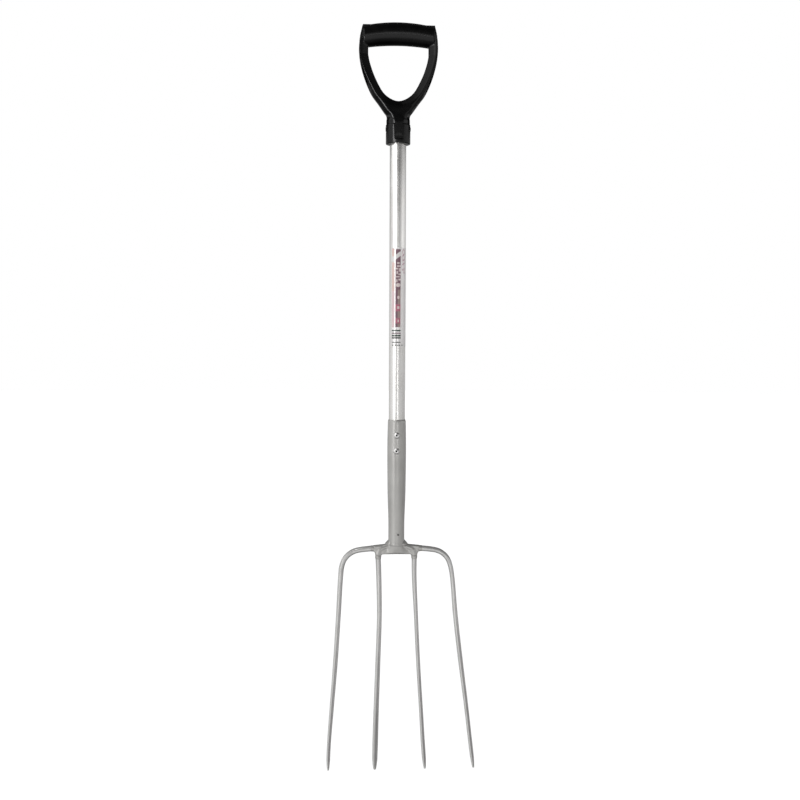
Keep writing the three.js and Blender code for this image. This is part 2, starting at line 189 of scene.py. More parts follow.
# Weld beads round the prongs' roots, and the fillets beside the socket.
NUGGET_LENGTH = 2.2
NUGGET_RADIUS = 4.45
FILLET_RISE = 6
FILLET_REACH = 5.2
FILLET_WRAP = 44

# Prongs.
PRONG_DATUM = -774
DISH_RADIUS = 442
PRONG_LENGTH = 326.5
POINT_LENGTH = 17
POINT_SHARE = 0.34
POINT_TIP = 1.4
PRONG_RINGS, POINT_RINGS = 150, 24
PRONG_SIDES = 40
ROOT_SIZE = 8.9
ROOT_TAPER = 75
ROOT_OFFSET = NUGGET_LENGTH + 3.3 * GAP
# Distances down the dish where the prongs' places and sizes are given, and their depths there.
STATIONS = [35, 95, 165, 235, 290, PRONG_LENGTH]
PRONG_DEPTHS = [8.2, 7.8, 7.4, 6.8, 6, 5.6]
# From the root to the first station, as places across the head and heights.
SHOULDER = [[STUB_END + ROOT_OFFSET, -766.7], [54, -768.3], [64.5, -770.6], [73.4, -775.7], [80, -783.4],
            [84, -793.8]]
INNER_ROOT = [[(LEG_INNER + LEG_OUTER) / 2, LEG_FOOT - ROOT_OFFSET]]
# Side, whether it is an outer prong, and at each station its place across the head and its width.
PRONGS = {
    "outer_tine_left": (-1, True, [85.8, 89.3, 94, 99.9, 104.2, 105.5], [7.9, 7.4, 7.2, 6.5, 5.7, 5.5]),
    "inner_tine_left": (-1, False, [26.9, 26.3, 29.3, 33, 35.9, 37.7], [8.1, 7.5, 7.7, 8.1, 8.4, 7.6]),
    "inner_tine_right": (1, False, [27.9, 30.2, 32.2, 34.2, 35, 35.8], [7.4, 6.3, 6.2, 6, 6.3, 5.9]),
    "outer_tine_right": (1, True, [86.8, 91.3, 97.4, 103, 105.7, 107.2], [7, 7.5, 7.3, 6.5, 6.2, 5.6]),
}


# ---------------------------------------------------------------- lines and fields
def smooth_line(points, steps):
    """A centripetal Catmull-Rom line through points, in steps pieces between each two."""
    points = np.array(points, float)
    ends = 2 * points[[0, -1]] - points[[1, -2]]
    knots = np.vstack([ends[:1], points, ends[1:]])
    gaps = np.sqrt(np.linalg.norm(np.diff(knots, axis=0), axis=1))
    share = np.linspace(0, 1, steps, endpoint=False)[:, None]
    line = []
    for i in range(1, len(points)):
        before, here, after = gaps[i - 1:i + 2]
        a, b, c, d = knots[i - 1:i + 3]
        leave = ((b - a) / before - (c - a) / (before + here) + (c - b) / here) * here
        arrive = ((c - b) / here - (d - b) / (here + after) + (d - c) / after) * here
        curve = b + leave * share + (3 * (c - b) - 2 * leave - arrive) * share ** 2
        line.append(curve + (2 * (b - c) + leave + arrive) * share ** 3)
    return np.vstack([*line, points[-1:]])


def outline_field(x, z, outline):
    """Distance from a closed outline, below zero inside it."""
    nearest, inside = np.inf, False
    for (ax, az), (bx, bz) in zip(outline, np.roll(outline, -1, axis=0)):
        dx, dz = bx - ax, bz - az
        share = np.clip(((x - ax) * dx + (z - az) * dz) / (dx * dx + dz * dz), 0, 1)
        nearest = np.minimum(nearest, (x - ax - share * dx) ** 2 + (z - az - share * dz) ** 2)
        if az != bz:
            crossing = ((az > z) != (bz > z)) & (x < ax + (z - az) / dz * dx)
            inside = inside ^ crossing
    return np.where(inside, -1, 1) * np.sqrt(nearest)


def join(a, b, radius):
    """The union of two fields, with a fillet of about that radius."""
    share = np.clip(0.5 + 0.5 * (b - a) / radius, 0, 1)
    return b + (a - b) * share - radius * share * (1 - share)


def common(a, b, radius):
    """What two fields share, with its edges rounded."""
    return -join(-a, -b, radius)


def ease(value, low, high):
    """From 0 at low to 1 at high, level at both ends."""
    share = np.clip((value - low) / (high - low), 0, 1)
    return share * share * (3 - 2 * share)


# How strongly a vertex of a contour is held to the middle of its crossings.
STEADYING = 0.08


def contour(field, low, high, step):
    """The surface where field(x, y, z) is zero, as points and four-cornered faces.

    Each cell that the surface crosses gets one vertex, where the planes through its crossings meet best, so
    creases stay crisp.
    """
    low = np.array(low, float)
    axes = [np.arange(lo, hi + step, step) for lo, hi in zip(low, high)]
    grid = field(axes[0][:, None, None], axes[1][None, :, None], axes[2][None, None, :])
    grid = np.broadcast_to(grid, [len(axis) for axis in axes])
    shape = np.array(grid.shape)
    stride = np.array([shape[1] * shape[2], shape[2], 1])
    inside = grid < 0
    crossings, corners, starts_inside = [], [], []
    for axis in range(3):
        across, up = (axis + 1) % 3, (axis + 2) % 3
        first = np.argwhere(np.diff(inside, axis=axis))
        first = first[(first[:, across] > 0) & (first[:, up] > 0)]
        second = first.copy()
        second[:, axis] += 1
        here, there = grid[tuple(first.T)], grid[tuple(second.T)]
        point = low + step * first
        point[:, axis] += step * here / (here - there)
        cell = first @ stride
        back, below = cell - stride[across], cell - stride[up]
        ring = np.stack([cell, back, back - stride[up], below], 1)
        crossings.append(point)
        corners.append(ring)
        starts_inside.append(here < 0)
    crossings, corners, starts_inside = map(np.concatenate, (crossings, corners, starts_inside))
    slopes = gradient(field, crossings, step / 8)
    used, place = np.unique(corners, return_inverse=True)
    place = place.reshape(corners.shape)
    count = len(used)

    def total(values):
        return sum(np.bincount(place[:, i], values, count) for i in range(4))

    number = total(np.ones(len(crossings)))
    mean = np.stack([total(crossings[:, i]) for i in range(3)], 1) / number[:, None]
    planes = np.empty((count, 3, 3))
    for i in range(3):
        for j in range(3):
            planes[:, i, j] = total(slopes[:, i] * slopes[:, j])
    along = np.einsum("ij,ij->i", slopes, crossings)
    pull = np.stack([total(slopes[:, i] * along) for i in range(3)], 1)
    pull -= np.einsum("nij,nj->ni", planes, mean)
    planes += STEADYING * number[:, None, None] * np.eye(3)
    shift = np.linalg.solve(planes, pull[:, :, None])[:, :, 0]
    points = mean + np.clip(shift, -step, step)
    faces = np.where(starts_inside[:, None], place, place[:, ::-1])
    return points, faces


def gradient(field, points, reach):
    """Unit slopes of a field at points."""
    slopes = np.empty_like(points)
    for i in range(3):
        ahead, behind = points.copy(), points.copy()
        ahead[:, i] += reach
        behind[:, i] -= reach
        slopes[:, i] = field(*ahead.T) - field(*behind.T)
    return slopes / np.maximum(np.linalg.norm(slopes, axis=1, keepdims=True), 1e-9)


# ---------------------------------------------------------------- meshes
def mesh_from(name, points, faces):
    """A smooth-shaded mesh from points in millimetres."""
    mesh = bpy.data.meshes.new(name)
    mesh.from_pydata(np.asarray(points) * MM, [], faces, shade_flat=False)
    mesh.validate()
    return mesh


def rounded(profile, sizes, steps=4):
    """A profile of [radius, height] whose inner corners are rounded, each by its size."""
    profile = np.array(profile, float)
    line = [profile[0]]
    share = np.linspace(0, 1, steps + 1)[:, None]
    for i, size in zip(range(1, len(profile) - 1), sizes):
        before, here, after = profile[i - 1:i + 2]
        start = here + (before - here) * min(0.49, size / np.linalg.norm(before - here))
        end = here + (after - here) * min(0.49, size / np.linalg.norm(after - here))
        line.extend((1 - share) ** 2 * start + 2 * share * (1 - share) * here + share ** 2 * end)
    line.append(profile[-1])
    return np.array(line)


def turned(name, profile, segments):
    """A mesh of a profile turned about Z. It starts and ends on the axis, or closes on itself."""
    shape = bmesh.new()
    corners = [shape.verts.new((radius * MM, 0, height * MM)) for radius, height in profile]
    lines = [shape.edges.new(pair) for pair in zip(corners, corners[1:])]
    bmesh.ops.spin(shape, geom=corners + lines, axis=(0, 0, 1), cent=(0, 0, 0), angle=2 * math.pi,
                   steps=segments, use_duplicate=False)
    bmesh.ops.remove_doubles(shape, verts=shape.verts, dist=1e-6)
    bmesh.ops.recalc_face_normals(shape, faces=shape.faces)
    for face in shape.faces:
        face.smooth = True
    mesh = bpy.data.meshes.new(name)
    shape.to_mesh(mesh)
    shape.free()
    return mesh


def skin(name, rings):
    """A mesh over a stack of rings of points, with a cap over each end."""
    rings = np.array(rings)
    levels, around = rings.shape[:2]
    first = np.arange(levels - 1)[:, None] * around + np.arange(around)[None, :]
    side = (np.arange(around) + 1) % around - np.arange(around)
    walls = np.stack([first, first + side, first + side + around, first + around], -1).reshape(-1, 4)
    last = (levels - 1) * around
    caps = [list(range(around))[::-1], list(range(last, last + around))]
    return mesh_from(name, rings.reshape(-1, 3), [*walls.tolist(), *caps])


def placed(mesh, *turns):
    """The mesh moved by matrices, the first one first."""
    for turn in turns:
        mesh.transform(turn)
    return mesh


def lift(x=0, y=0, z=0):
    return Matrix.Translation(Vector((x, y, z)) * MM)


# Turns of a mesh drawn up the Z axis: along X, and out of the front.
ACROSS = Matrix.Rotation(90 * DEGREE, 4, "Y")
FORWARD = Matrix.Rotation(90 * DEGREE, 4, "X")


def drilled(mesh, *tools):
    """The mesh less the tools' meshes."""
    body = bpy.data.objects.new("body", mesh)
    bpy.context.scene.collection.objects.link(body)
    for tool in tools:
        drill = bpy.data.objects.new("drill", tool)
        bpy.context.scene.collection.objects.link(drill)
        cut = body.modifiers.new("cut", "BOOLEAN")
        cut.operation = "DIFFERENCE"
        cut.solver = "EXACT"
        cut.object = drill
    made = bpy.data.meshes.new_from_object(body.evaluated_get(bpy.context.evaluated_depsgraph_get()))
    for drill in [cut.object for cut in body.modifiers]:
        bpy.data.objects.remove(drill)
    bpy.data.objects.remove(body)
    return made


def add_piece(name, mesh, material, slot, *nodes, sharp=35):
    """Puts a finished mesh in the scene in place of CAD nodes."""
    mesh.materials.clear()
    mesh.materials.append(material)
    mesh.set_sharp_from_angle(angle=sharp * DEGREE)
    piece = bpy.data.objects.new(name, mesh)
    bpy.context.scene.collection.objects.link(piece)
    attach(piece, "root")
    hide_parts(*nodes)
    return piece


# ---------------------------------------------------------------- materials
class Nodes:
    """Short calls that add nodes to a tree. A socket is fed by another socket or by a value."""

    def __init__(self, tree):
        self.tree = tree

    def node(self, kind, inputs=(), **settings):
        made = self.tree.nodes.new(kind)
        for setting, value in settings.items():
            setattr(made, setting, value)
        for socket, value in dict(inputs).items():
            self.feed(value, made.inputs[socket])
        return made

    def feed(self, value, socket):
        if isinstance(value, bpy.types.NodeSocket):
            self.tree.links.new(value, socket)
        else:
            socket.default_value = value

    def math(self, operation, *values):
        return self.node("ShaderNodeMath", enumerate(values), operation=operation).outputs[0]

    def ramp(self, value, low, high, start=0.0, end=1.0, shape="SMOOTHSTEP"):
        """Carries low to high over to start to end, and holds still outside them."""
        inputs = {"Value": value, "From Min": low, "From Max": high, "To Min": start, "To Max": end}
        return self.node("ShaderNodeMapRange", inputs, interpolation_type=shape).outputs[0]


class Finish(Nodes):
    """A material whose patterns are laid out in the part's frame, in metres."""

    def __init__(self, name, colour, **settings):
        self.material = bpy.data.materials.new(name)
        self.material.use_nodes = True
        super().__init__(self.material.node_tree)
        self.surface = self.tree.nodes["Principled BSDF"]
        self.surface.inputs["Base Color"].default_value = (*colour, 1)
        for socket, value in settings.items():
            self.surface.inputs[socket.replace("_", " ")].default_value = value
        self.place = self.node("ShaderNodeTexCoord").outputs["Object"]
        self.bumps = []

    def noise(self, size, detail=2, stretch=(1, 1, 1), roughness=0.5):
        """Cloudy noise from about 0.3 to 0.7, with patches of that size in millimetres, stretched by axis."""
        scaled = self.node("ShaderNodeMapping", {"Vector": self.place, "Scale": [1 / s for s in stretch]})
        made = self.node("ShaderNodeTexNoise", {"Vector": scaled.outputs[0], "Scale": 1 / (size * MM),
                                                "Detail": detail, "Roughness": roughness})
        return made.outputs["Fac"]

    def mix(self, factor, one, other):
        """A colour between two others."""
        colours = [(*c, 1) if isinstance(c, tuple) else c for c in (one, other)]
        made = self.node("ShaderNodeMix", {0: factor, 6: colours[0], 7: colours[1]}, data_type="RGBA")
        return made.outputs[2]

    def worn(self, low, high):
        """1 on edges that stand out, 0 elsewhere."""
        return self.ramp(self.node("ShaderNodeNewGeometry").outputs["Pointiness"], low, high)

    def bump(self, height, millimetres):
        inputs = {"Height": height, "Distance": millimetres * MM, "Strength": 1.0}
        if self.bumps:
            inputs["Normal"] = self.bumps[-1]
        self.bumps.append(self.node("ShaderNodeBump", inputs).outputs[0])

    def done(self, **links):
        for socket, value in links.items():
            self.feed(value, self.surface.inputs[socket.replace("_", " ")])
        if self.bumps:
            self.tree.links.new(self.bumps[-1], self.surface.inputs["Normal"])
        return self.material


def black_plastic():
    """Moulded polypropylene: a fine spark-eroded grain, faint flow clouds, and edges rubbed paler."""
    finish = Finish("black_plastic", (0.005, 0.005, 0.005), IOR=1.5, Specular_IOR_Level=0.25)
    cloud = finish.noise(22, 4)
    grain = finish.noise(0.45, 2)
    scuff = finish.math("MULTIPLY", finish.worn(0.52, 0.6), finish.ramp(finish.noise(3, 4), 0.4, 0.65))
    body = finish.mix(finish.ramp(cloud, 0.35, 0.65), (0.0035, 0.0034, 0.0036), (0.006, 0.0059, 0.006))
    colour = finish.mix(finish.math("MULTIPLY", scuff, 0.5), body, (0.02, 0.0195, 0.019))
    finish.bump(grain, 0.012)
    finish.bump(finish.noise(9, 2), 0.05)
    roughness = finish.math("ADD", finish.ramp(cloud, 0.3, 0.7, 0.2, 0.26),
                            finish.ramp(grain, 0.3, 0.7, -0.02, 0.04))
    return finish.done(Base_Color=colour, Roughness=roughness)


def drawn_aluminium():
    """Anodised tube: fine lines along it from drawing, a few handling marks, and a faint warm cast."""
    finish = Finish("drawn_aluminium", (0.8, 0.79, 0.775), Metallic=1.0)
    lines = finish.noise(0.35, 3, (1, 1, 240))
    bands = finish.noise(2.4, 2, (1, 1, 400))
    cloud = finish.noise(38, 3)
    marks = finish.ramp(finish.noise(1.6, 5, (1, 5, 1), 0.7), 0.66, 0.72)
    body = finish.mix(finish.ramp(cloud, 0.3, 0.7), (0.8, 0.785, 0.765), (0.86, 0.85, 0.835))
    colour = finish.mix(finish.math("MULTIPLY", marks, 0.25), body, (0.6, 0.59, 0.58))
    finish.bump(lines, 0.006)
    finish.bump(bands, 0.012)
    roughness = finish.math("ADD", finish.ramp(lines, 0.3, 0.7, 0.2, 0.27),
                            finish.ramp(cloud, 0.3, 0.7, 0, 0.05))
    return finish.done(Base_Color=colour, Roughness=roughness)


# The paint's darker and paler patches, on the head and on the prongs. The prongs' pair is paler all over as
# painted light: it puts the brighter sheen the prongs catch into their colour.
HEAD_PAINT = (0.462, 0.455, 0.437), (0.52, 0.512, 0.492)
LIT_PRONG_PAINT = (0.62, 0.616, 0.603), (0.69, 0.686, 0.672)


def grey_enamel(name, dark, pale):
    """Brushed-on gloss paint over forged steel: orange peel, slow waves, and thin, darker edges."""
    finish = Finish(name, pale, Metallic=0.3, Coat_Weight=0.7, Coat_Roughness=0.14)
    peel = finish.noise(2.2, 2)
    wave = finish.noise(11, 3)
    cloud = finish.noise(34, 4)
    speck = finish.ramp(finish.noise(0.9, 3, roughness=0.7), 0.71, 0.76)
    edge = finish.math("MULTIPLY", finish.worn(0.54, 0.62), finish.ramp(finish.noise(4, 4), 0.42, 0.6))
    body = finish.mix(finish.ramp(cloud, 0.35, 0.65), dark, pale)
    body = finish.mix(finish.math("MULTIPLY", speck, 0.35), body, (0.26, 0.258, 0.248))
    colour = finish.mix(finish.math("MULTIPLY", edge, 0.3), body, (0.3, 0.298, 0.288))
    finish.bump(peel, 0.03)
    finish.bump(wave, 0.04)
    return finish.done(Base_Color=colour, Roughness=finish.ramp(cloud, 0.3, 0.7, 0.3, 0.38))


# Colour and roughness of the rivets' plating, and of the broken stems and the cross pin. The stems' near-black
# is painted shade, standing in for the dark hole at each rivet's middle.
PLATED_STEEL = (0.78, 0.77, 0.76), 0.3
BLACK_PIN_AND_STEM_SHADE = (0.01, 0.0095, 0.009), 0.6


def rivet_steel(name, colour, rough):
    """Steel with fine scratches from setting and a little grime."""
    finish = Finish(name, colour, Metallic=1.0)
    scratch = finish.noise(0.3, 3, (1, 6, 1))
    grime = finish.ramp(finish.noise(1.3, 4), 0.4, 0.65)
    shade = finish.mix(finish.math("MULTIPLY", grime, 0.4), colour, tuple(c * 0.6 for c in colour))
    finish.bump(scratch, 0.012)
    return finish.done(Base_Color=shade, Roughness=finish.ramp(scratch, 0.3, 0.7, rough, rough + 0.12))


PLUM, PINK, MAGENTA = (0.22, 0.11, 0.15), (0.94, 0.7, 0.65), (0.52, 0.15, 0.22)
CREAM, BLUSH, BROWN = (0.85, 0.72, 0.7), (0.93, 0.72, 0.74), (0.38, 0.27, 0.25)
INK, ROSE, GREY = (0.05, 0.08, 0.06), (0.22, 0.13, 0.16), (0.15, 0.16, 0.15)
# The second of these greys is the paler middle of the label's bars, a painted highlight.
MIST, PAINTED_BAR_HIGHLIGHT, WHITE = (0.5, 0.28, 0.34), (0.4, 0.42, 0.4), (0.88, 0.84, 0.83)
# Printed areas of the label, in millimetres from its top left corner: left, top, width, height and colour.
LABEL_AREAS = [
    (0.1, 1.5, 4.7, 12, PINK), (0.1, 22, 4.7, 44, PINK), (0.1, 66, 4.7, 55, BLUSH),
    (6.3, 2.6, 7.7, 118, PLUM), (9.8, 64, 4.2, 56.6, BROWN),
    (8.4, 27, 5.6, 2.2, CREAM), (6.8, 30.8, 3.4, 2.4, CREAM), (11.4, 31.2, 2.6, 5.4, CREAM),
    (7.8, 35.6, 2.2, 4.6, CREAM), (10.8, 39.4, 3.2, 2.2, CREAM), (7.2, 43.4, 5.6, 1.8, CREAM),
    (10.6, 47.2, 3.4, 2.6, CREAM), (7.4, 48, 1.8, 4.4, CREAM),
    (6.3, 86, 7.7, 10.5, MAGENTA), (9, 89, 3.4, 4, CREAM),
    (6.3, 107, 7.7, 8, MAGENTA), (9.6, 109.5, 2, 3.6, CREAM),
]
# The bars across its foot, as top, height and ink, each paler in a middle part as a painted highlight where the
# tube's shine crosses them, then a thin line and five dots.
LABEL_BARS = [(124.8, 2.2, INK), (129, 1.8, ROSE), (132.2, 2.6, INK), (135.6, 2.6, GREY)]
LABEL_AREAS += [(left, top, width, height, shade) for top, height, ink in LABEL_BARS
                for left, width, shade in ((0.5, 3.6, ink), (4.1, 1.5, PAINTED_BAR_HIGHLIGHT), (5.6, 9, ink))]
LABEL_AREAS += [(0.9, 143, 13.6, 1.5, GREY)]
LABEL_AREAS += [(left, 147.2, 2, 1.8, INK) for left in (1, 5.6, 8.4, 11.4, 16)]
# Pale rounds on the label's dark column: across, down, radius across and radius down.
LABEL_ROUNDS = [(10.6, 23.5, 2, 1.4), (10.4, 56.8, 3.4, 2.9), (10.8, 75.6, 1.8, 2.6)]
# Outlined rounds to the right of the column, in the same terms.
LABEL_RINGS = [(19.5, 7, 2.6, 4.4), (18.6, 15.5, 2.4, 4.6), (20.4, 21, 2.8, 3.6), (18.2, 29.5, 2.2, 5.4),
               (20.6, 35, 2, 4)]
# A rising sweep across the column: its left, its right, its height at the left and half its thickness.
SWEEP = (2, 14.5, 18, 3.6)
SWEEP_SLOPE = -0.75


def printed_film():
    """Clear film over bright metal, with a textless print of blocks, rounds and bars."""
    finish = Finish("printed_film", (0.8, 0.79, 0.78), Coat_Weight=0.4, Coat_Roughness=0.12)
    layout = finish.node("ShaderNodeUVMap", uv_map="Print").outputs[0]
    flat = finish.node("ShaderNodeSeparateXYZ", {"Vector": layout})
    across, down = flat.outputs["X"], flat.outputs["Y"]
    metal = finish.noise(0.35, 3, (1, 1, 240))
    colour = finish.mix(finish.ramp(finish.noise(30, 3), 0.3, 0.7), (0.9, 0.875, 0.87), (0.95, 0.93, 0.925))
    printed = 0.0
    for left, top, width, height, ink in LABEL_AREAS:
        inside = finish.math("MULTIPLY", finish.math("COMPARE", across, left + width / 2, width / 2),
                             finish.math("COMPARE", down, top + height / 2, height / 2))
        colour = finish.mix(inside, colour, ink)
        printed = finish.math("MAXIMUM", printed, inside)
    disc, ring = ("LESS_THAN", 1.0), ("COMPARE", 0.8, 0.25)
    for rounds, (test, *limits), ink in ((LABEL_ROUNDS, disc, CREAM), (LABEL_RINGS, ring, MIST)):
        for middle, height, wide, tall in rounds:
            near = finish.math("ADD", *[
                finish.math("POWER", finish.math("DIVIDE", finish.math("SUBTRACT", way, mid), size), 2.0)
                for way, mid, size in ((across, middle, wide), (down, height, tall))])
            colour = finish.mix(finish.math(test, near, *limits), colour, ink)
    left, right, level, half = SWEEP
    rise = finish.math("MULTIPLY_ADD", finish.math("SUBTRACT", across, left), SWEEP_SLOPE, level)
    band = finish.math("MULTIPLY", finish.math("COMPARE", down, rise, half),
                       finish.math("COMPARE", across, (left + right) / 2, (right - left) / 2))
    colour = finish.mix(band, colour, WHITE)
    finish.bump(metal, 0.004)
    finish.bump(finish.noise(7, 3), 0.012)
    return finish.done(Base_Color=colour, Metallic=finish.ramp(printed, 0, 1, 0.35, 0.0),
                       Roughness=finish.ramp(printed, 0, 1, 0.24, 0.42))


# ---------------------------------------------------------------- D-handle
def half_outline(points, far=-200):
    """A closed outline for places right of the middle plane, from its right-hand line."""
    line = np.array(points)
    return np.vstack([[far, line[0, 1]], line, [far, line[-1, 1]]])


ARMS = half_outline([[ARM_OUTSIDE[0][0], SLEEVE_FOOT], *smooth_line(ARM_OUTSIDE, 5)])
EYE_LINE = smooth_line([*EYE_SIDE, *[[-x, z] for x, z in EYE_SIDE[-2::-1]]], 5)
EYE = half_outline([[EYE_SIDE[0][0], EYE_TOP], *EYE_LINE[EYE_LINE[:, 0] >= 0]])


def sleeve_radius(z):
    return np.interp(z, [SLEEVE_FOOT, SLEEVE_STEP - SLEEVE_STEP_HEIGHT, SLEEVE_STEP, SLEEVE_TOP, NECK_TOP],
                     [SLEEVE_RADIUS, SLEEVE_RADIUS, SLEEVE_WAIST, SLEEVE_WAIST, NECK_RADIUS])


def handle_field(x, y, z):
    """The D-handle: arms, barrel grip and sleeve, less the tube's bore and the pin's hole and seats."""
    across, depth = np.abs(x), np.abs(y)
    from_edge = -outline_field(across, z, ARMS)
    from_eye = outline_field(across, z, EYE)
    # The front face rises from the arms to the strap, whose edges carry on from the arms' ridges.
    face = np.interp(z, [SLEEVE_FOOT, STRAP_SHOULDER, STRAP_TOP], [STRAP_FOOT_FACE, STRAP_FACE, ARM_FRONT])
    inset = np.interp(z, RIDGE_HEIGHTS, RIDGE_INSETS)
    outer_side = (depth - ARM_EDGE - (face - ARM_EDGE) * from_edge / inset) * OUTER_SIDE_SCALE
    inner_side = (depth - ARM_INSIDE - ARM_SLOPE * from_eye) * INNER_SIDE_SCALE
    arms = common(-from_edge, -from_eye, ARM_ROUND)
    front = common(depth - face, inner_side, INNER_RIDGE_ROUND)
    arms = common(arms, common(outer_side, front, OUTER_RIDGE_ROUND), SIDE_ROUND)
    along = x / GRIP_HALF
    radius = GRIP_RADIUS + (GRIP_END_RADIUS - GRIP_RADIUS) * along ** 2
    barrel = np.hypot(y, z - GRIP_RADIUS + GRIP_ARCH * along ** 2) - radius
    barrel = common(barrel, across - GRIP_HALF, GRIP_END_ROUND)
    shaft = np.hypot(x, y)
    # A flat down its front and back stops short of its foot.
    sleeve = common(shaft - sleeve_radius(z), np.minimum(depth - face, z - FLAT_FOOT), FLAT_ROUND)
    sleeve = common(sleeve, z - NECK_TOP, NECK_ROUND)
    body = join(join(arms, barrel, GRIP_FILLET), sleeve, NECK_FILLET)
    body = common(body, SLEEVE_FOOT - z, FOOT_ROUND)
    bore = np.maximum(shaft - TUBE_RADIUS - GAP / 2, z - TUBE_HIGH[2] - GAP)
    seat = np.hypot(y, z - PIN_HEIGHT)
    seat = np.maximum(seat - PIN_SEAT_RADIUS, SLEEVE_RADIUS - PIN_SEAT_DEPTH - across)
    pin_hole = np.hypot(y, z - PIN_HEIGHT) - PIN_RADIUS - GAP / 2
    return common(np.maximum(body, -bore), -np.minimum(seat, pin_hole), HOLE_ROUND)


def add_handle():
    margin = 2 * HANDLE_STEP
    points, faces = contour(handle_field, HANDLE_LOW - margin, HANDLE_HIGH + margin, HANDLE_STEP)
    add_piece("d_handle_moulding", mesh_from("d_handle_moulding", points, faces), black_plastic(),
              "handle_plastic", "d_handle", sharp=50)


def add_handle_pin(steel):
    seat = SLEEVE_RADIUS - PIN_SEAT_DEPTH + GAP
    crown = seat + PIN_HEAD_RISE
    half = rounded([[PIN_RADIUS, 0], [PIN_RADIUS, seat], [PIN_HEAD_RADIUS, seat],
                    [PIN_HEAD_RADIUS * 0.92, crown - 0.4], [PIN_HEAD_RADIUS * 0.5, crown], [0, crown]],
                   [0.2, 0.3, 0.8, 1.2])
    profile = [*(half * [1, -1])[::-1], *half[1:]]
    pin = placed(turned("cross_pin", profile, 40), ACROSS, lift(z=PIN_HEIGHT))
    add_piece("cross_pin", pin, steel, "bright_steel", "handle_pin")


# ---------------------------------------------------------------- shaft
def rod(radius, low, high, segments=40):
    return turned("rod", [[0, low], [radius, low], [radius, high], [0, high]], segments)


def on_front(mesh, height, turn):
    """Stands a mesh drawn up the Z axis on the front of the shaft, turned about it."""
    return placed(mesh, FORWARD, Matrix.Rotation(turn * DEGREE, 4, "Z"), lift(z=height))


def rivet_drills():
    return [on_front(rod(RIVET_RADIUS + GAP / 2, RIVET_RADIUS, SLEEVE_RADIUS), height, turn)
            for _, height, turn in RIVETS]


def add_tube():
    low, high, wall = TUBE_LOW[2], TUBE_HIGH[2], TUBE_RADIUS - TUBE_WALL
    loop = [[wall, (low + high) / 2], [wall, low], [TUBE_RADIUS, low], [TUBE_RADIUS, high], [wall, high],
            [wall, (low + high) / 2]]
    tube = turned("drawn_tube", rounded(loop, [0.4] * 4), 128)
    pin = placed(rod(PIN_RADIUS + GAP / 2, -SLEEVE_RADIUS, SLEEVE_RADIUS), ACROSS, lift(z=PIN_HEIGHT))
    add_piece("drawn_tube", drilled(tube, pin, *rivet_drills()), drawn_aluminium(), "tube_aluminium",
              "shaft_tube")


def add_label():
    """A thin film wrapped round the tube, with rounded corners and its layout kept as a UV map."""
    width = LABEL_WRAP * DEGREE * TUBE_RADIUS
    length = LABEL_HIGH[2] - LABEL_LOW[2]
    shares = [np.linspace(0, 1, count + 1) for count in (LABEL_COLUMNS, LABEL_ROWS)]
    across, down = np.meshgrid(*shares, indexing="ij")
    # Near an end, a row of the grid is drawn in to follow the rounded corners.
    into_corner = np.maximum(0, LABEL_CORNER - np.minimum(down, 1 - down) * length)
    inset = LABEL_CORNER - np.sqrt(np.maximum(0, LABEL_CORNER ** 2 - into_corner ** 2))
    flat_x = inset + across * (width - 2 * inset)
    flat_y = down * length
    turn = LABEL_LEFT_TURN * DEGREE + flat_x / TUBE_RADIUS
    layers = []
    for radius in (TUBE_RADIUS + FILM_LIFT, TUBE_RADIUS + FILM_LIFT + FILM):
        place = np.stack([radius * np.sin(turn), -radius * np.cos(turn), LABEL_HIGH[2] - flat_y], -1)
        layers.append(place.reshape(-1, 3))
    count = across.size
    index = np.arange(count).reshape(across.shape)
    sheet = np.stack([index[:-1, :-1], index[:-1, 1:], index[1:, 1:], index[1:, :-1]], -1).reshape(-1, 4)
    rim = np.concatenate([index[:, 0], index[-1, 1:], index[-2::-1, -1], index[0, -2:0:-1]])
    beside = np.roll(rim, -1)
    edge = np.stack([rim, beside, beside + count, rim + count], -1)
    faces = np.vstack([sheet[:, ::-1], sheet + count, edge])
    mesh = mesh_from("label_film", np.vstack(layers), faces)
    layout = mesh.uv_layers.new(name="Print")
    corner = np.empty(len(mesh.loops), int)
    mesh.loops.foreach_get("vertex_index", corner)
    flat = np.stack([flat_x.ravel(), flat_y.ravel()], -1)[corner % count]
    layout.data.foreach_set("uv", flat.ravel())
    add_piece("label_film", mesh, printed_film(), "label_film", "shaft_label")


# ---------------------------------------------------------------- socket
def socket_radius(height):
    """The socket's outside radius at a height."""
    line = smooth_line(SOCKET_OUTSIDE, 8)[::-1]
    return np.interp(height, line[:, 1], line[:, 0])


def add_socket(enamel):
    bored = TUBE_LOW[2] - BORE_PAST_TUBE
    heights = np.linspace(SOCKET_RIM - LIP_DEPTH, SOCKET_FOOT, 60)
    outside = [[socket_radius(height), height] for height in heights]
    rim = [[TUBE_RADIUS + out, SOCKET_RIM - drop] for out, drop in SOCKET_LIP]
    rim.append([SOCKET_OUTSIDE[0][0] - LIP_EDGE_INSET, SOCKET_RIM - LIP_EDGE_DROP])
    inside = [[max(TUBE_RADIUS + GAP if height > bored else 0, socket_radius(height) - SOCKET_WALL), height]
              for height in heights[::-1]]
    shell = turned("swaged_socket", [*rim, *outside, *inside, rim[0]], 112)
    vent = on_front(rod(VENT_RADIUS, SOCKET_FOOT_RADIUS - VENT_DEPTH, SLEEVE_RADIUS), VENT_HEIGHT, VENT_TURN)
    add_piece("swaged_socket", drilled(shell, vent, *rivet_drills()), enamel, "grey_enamel", "socket",
              sharp=45)


